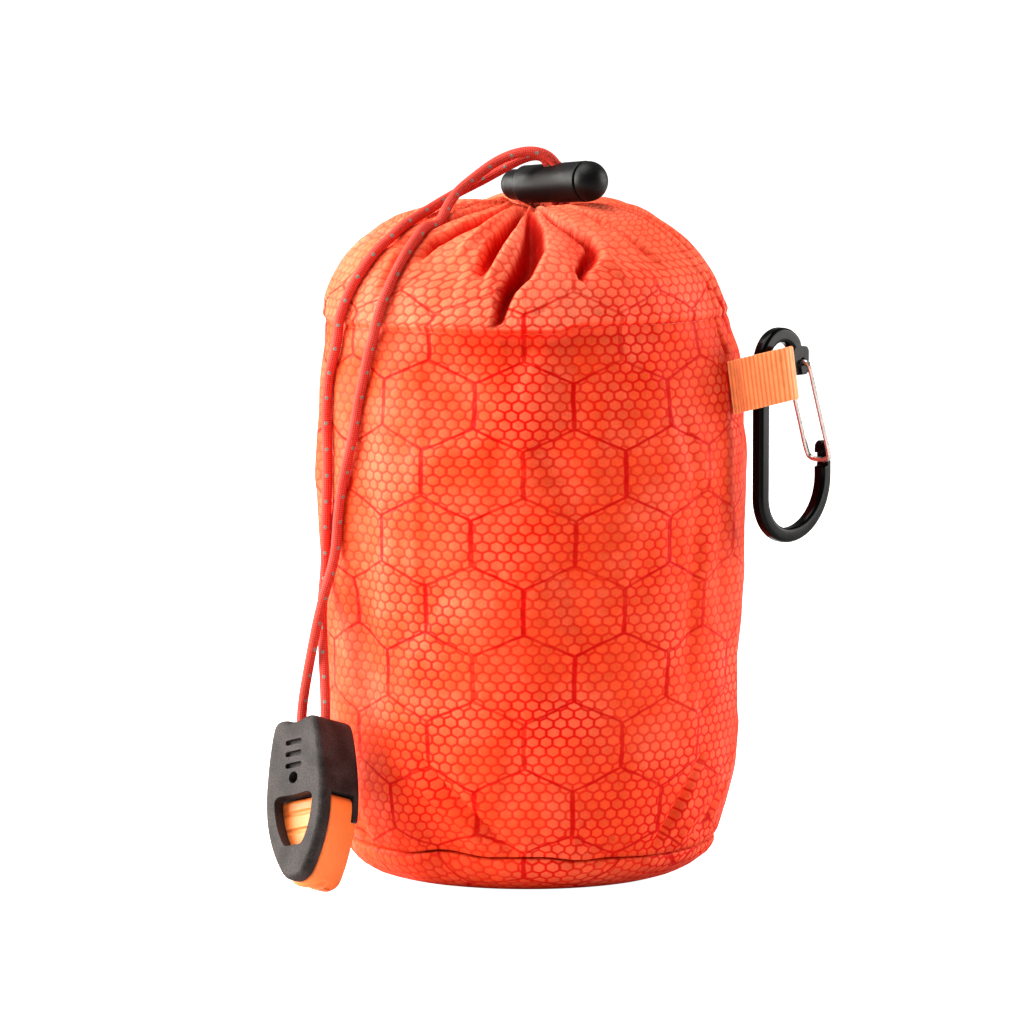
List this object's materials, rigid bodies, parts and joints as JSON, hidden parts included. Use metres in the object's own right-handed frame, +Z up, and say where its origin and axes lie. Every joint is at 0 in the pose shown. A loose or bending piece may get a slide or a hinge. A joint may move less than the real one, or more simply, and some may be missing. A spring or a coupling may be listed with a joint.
{
  "type": "emergency sleeping bag",
  "caption": "Emergency sleeping bag rolled into its ripstop drawstring sack, gathered shut by a cord with a barrel lock, a whistle on the cord and a wire-gate carabiner on a webbing tab.",
  "frame": {"origin": "centre of the sack's flat base, on the surface it stands on", "axes": "+Z up the sack's length, the gathered mouth on top; the front with the deep pleat faces -Y; the webbing tab and carabiner are on the +X side and the whistle on the -X side"},
  "size_m": [0.1343, 0.1028, 0.1749],
  "materials": {
    "sack_fabric": "honeycomb ripstop with a soft sheen",
    "webbing": "ribbed weave",
    "carabiner": "gloss black",
    "gate_wire": "satin",
    "cord_lock": "matte black",
    "drawcord": "fine braid with grey flecks",
    "whistle_housing": "fine grain",
    "whistle_insert": "smooth satin"
  },
  "bodies": {
    "sack": {"sack_wall": "sack_fabric", "bottom_panel": "sack_fabric", "webbing_tab": "webbing", "carabiner_body": "carabiner", "lock_barrel": "cord_lock", "cord_leg_a": "drawcord", "cord_leg_b": "drawcord", "whistle_housing": "whistle_housing", "whistle_insert": "whistle_insert"},
    "gate": {"gate_wire": "gate_wire"},
    "button": {"lock_button": "cord_lock"}
  },
  "joints": [
    {"name": "gate_hinge", "type": "hinge", "parent": "sack", "child": "gate", "pos_m": [0.06309, -0.01181, 0.1237], "axis": [-0.7431, 0.6691, 0], "range_deg": [0, 35], "stiffness_Nm_per_rad": 0.004, "springref_deg": -11.46},
    {"name": "button_press", "type": "slide", "parent": "sack", "child": "button", "axis": [0.6906, -0.7202, 0.0663], "range_m": [0, 0.0025], "stiffness_N_per_m": 100, "springref_m": -0.003}
  ]
}
